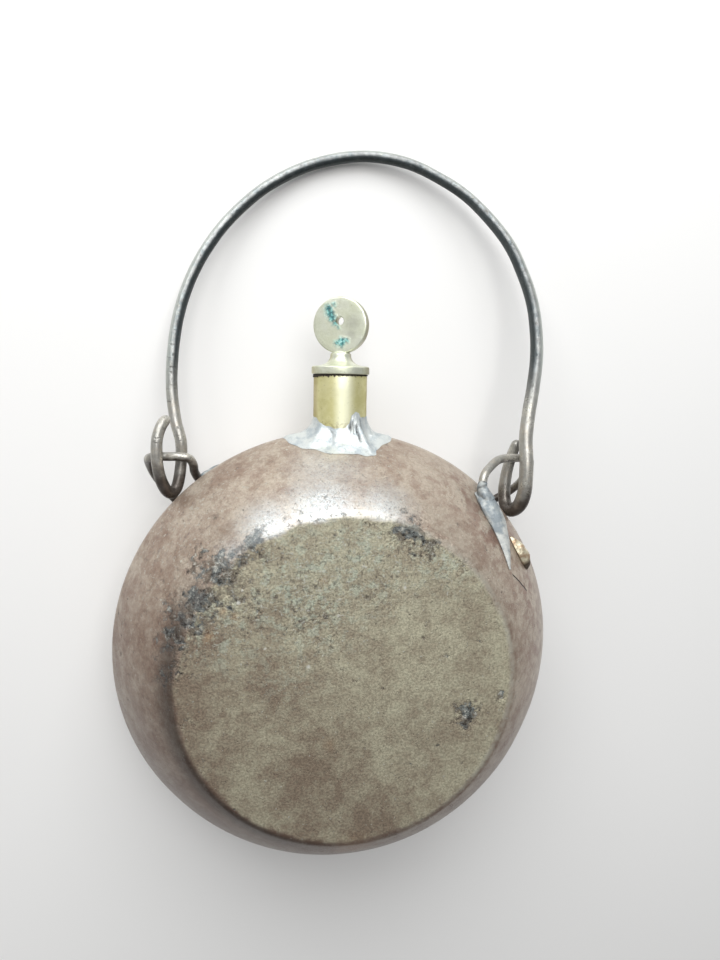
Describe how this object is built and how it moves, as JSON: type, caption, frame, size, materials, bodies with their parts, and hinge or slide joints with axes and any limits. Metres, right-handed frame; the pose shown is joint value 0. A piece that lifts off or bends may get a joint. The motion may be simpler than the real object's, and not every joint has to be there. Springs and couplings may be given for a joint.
{
  "type": "oil flask",
  "caption": "Round flat-faced iron oil flask with a brass screw stopper in a soldered neck and a wire bail linked through two wire eyes.",
  "frame": {"origin": "centre of the back shell's flat face, on the surface the flask lies on", "axes": "+Z is the axis that the body was turned about, out of the front face; +Y points from the body to the neck; +X is to the right seen from the front"},
  "size_m": [0.11, 0.1824, 0.048],
  "materials": {
    "front_iron": "matt, finely pitted",
    "back_iron": "satin, browned",
    "wire_iron": "satin, worn",
    "neck_brass": "satin, handled",
    "stopper_brass": "satin with verdigris",
    "tin_solder": "satin, lumpy",
    "braze": "satin, lumpy",
    "washer_leather": "matt, oiled"
  },
  "bodies": {
    "flask": {"front_shell": "front_iron", "back_shell": "back_iron", "rim_seam": "braze", "neck_tube": "neck_brass", "neck_solder": "tin_solder", "left_eye": "wire_iron", "right_eye": "wire_iron", "right_eye_front_solder": "tin_solder", "right_eye_rear_solder": "tin_solder", "left_eye_upper_solder": "tin_solder", "left_eye_lower_solder": "tin_solder", "rim_repair": "braze"},
    "washer": {"stopper_washer": "washer_leather"},
    "stopper": {"stopper": "stopper_brass"},
    "bail": {"bail": "wire_iron"}
  },
  "joints": [
    {"name": "stopper_lift", "type": "slide", "parent": "flask", "child": "washer", "axis": [0, 1, 0], "range_m": [0, 0.0105]},
    {"name": "stopper_turn", "type": "hinge", "parent": "washer", "child": "stopper", "pos_m": [0, 0.0679, 0.024], "axis": [0, 1, 0], "range_deg": [0, 2520]},
    {"name": "bail_swing", "type": "hinge", "parent": "flask", "child": "bail", "pos_m": [0, 0.0483, 0.0223], "axis": [1, 0, 0], "range_deg": [-100, 158]}
  ],
  "couplings": [
    {"joint": "stopper_turn", "follows": "stopper_lift", "rad_per_m": 4188.8}
  ]
}
